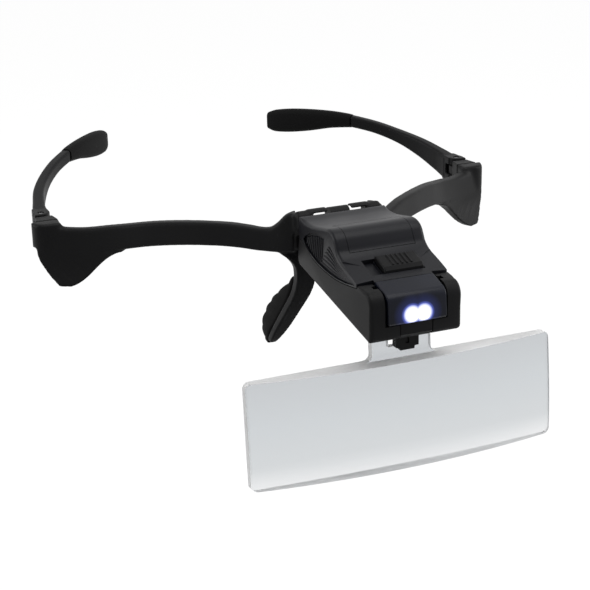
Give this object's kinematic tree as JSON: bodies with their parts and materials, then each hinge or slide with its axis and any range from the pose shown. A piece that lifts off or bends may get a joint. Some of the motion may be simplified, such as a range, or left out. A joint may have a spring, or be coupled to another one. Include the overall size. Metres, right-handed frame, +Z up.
{
  "type": "head visor magnifier",
  "caption": "Glasses-type head magnifier: wrap-round brow frame with folding temples and nose pads, flip-up lamp housing with slide switch and round lamps, and a clip-in oblong lens below it.",
  "frame": {"origin": "middle of the frame's bridge, where the wearer's nose carries it", "axes": "+X to the wearer's left, +Y back along the temples towards the wearer, +Z up"},
  "size_m": [0.1664, 0.2069, 0.0692],
  "materials": {
    "black_abs": "satin moulded black ABS",
    "black_gloss_abs": "smoother, semi-gloss black ABS",
    "black_rubber": "dull soft black rubber",
    "steel": "plain steel",
    "nickel_plate": "nickel-plated spring strip",
    "board_green": "green solder resist",
    "clear_acrylic": "clear polished acrylic",
    "lamp_epoxy": "clear lamp epoxy, shown lit"
  },
  "bodies": {
    "frame": {"front_frame": "black_abs", "nose_pad_left": "black_rubber", "nose_pad_right": "black_rubber", "hinge_block_left": "black_abs", "hinge_block_right": "black_abs", "temple_pin_left": "steel", "temple_pin_right": "steel", "tilt_hinge_pin": "steel"},
    "temple_left": {"temple_arm_left": "black_abs", "temple_tip_left": "black_rubber"},
    "temple_right": {"temple_arm_right": "black_abs", "temple_tip_right": "black_rubber"},
    "housing": {"housing_tray": "black_abs", "housing_cover": "black_gloss_abs", "button_cell_1": "steel", "button_cell_2": "steel", "button_cell_3": "steel", "battery_spring": "steel", "battery_contact": "nickel_plate", "circuit_board": "board_green", "switch_body": "black_abs", "tray_screw_left": "steel", "tray_screw_right": "steel"},
    "door": {"battery_door": "black_gloss_abs"},
    "switch": {"switch_slider": "black_abs"},
    "lamp": {"lamp_head": "black_gloss_abs", "led_left": "lamp_epoxy", "led_right": "lamp_epoxy"},
    "latch": {"lens_latch": "black_abs"},
    "lens": {"lens": "clear_acrylic"}
  },
  "joints": [
    {"name": "temple_fold_left", "type": "hinge", "parent": "frame", "child": "temple_left", "pos_m": [0.079, 0.0662, -0.0053], "axis": [0, 0, 1], "range_deg": [0, 70]},
    {"name": "temple_fold_right", "type": "hinge", "parent": "frame", "child": "temple_right", "pos_m": [-0.079, 0.0662, -0.0053], "axis": [0, 0, -1], "range_deg": [0, 52]},
    {"name": "housing_tilt", "type": "hinge", "parent": "frame", "child": "housing", "pos_m": [0, -0.0035, 0.0064], "axis": [-1, 0, 0], "range_deg": [0, 65]},
    {"name": "lamp_tilt", "type": "hinge", "parent": "housing", "child": "lamp", "pos_m": [0, -0.0546, -0.004], "axis": [-1, 0, 0], "range_deg": [0, 30]},
    {"name": "switch_slide", "type": "slide", "parent": "housing", "child": "switch", "axis": [1, 0, 0], "range_m": [-0.0038, 0]},
    {"name": "latch_press", "type": "slide", "parent": "housing", "child": "latch", "axis": [0, 1, 0], "range_m": [0, 0.0008], "stiffness_N_per_m": 400},
    {"name": "lens_pull", "type": "slide", "parent": "housing", "child": "lens", "axis": [0, -0.0785, -0.9969], "range_m": [0, 0.015]},
    {"name": "battery_door_lift", "type": "slide", "parent": "housing", "child": "door", "axis": [0, -0.7071, 0.7071], "range_m": [0, 0.015]}
  ]
}
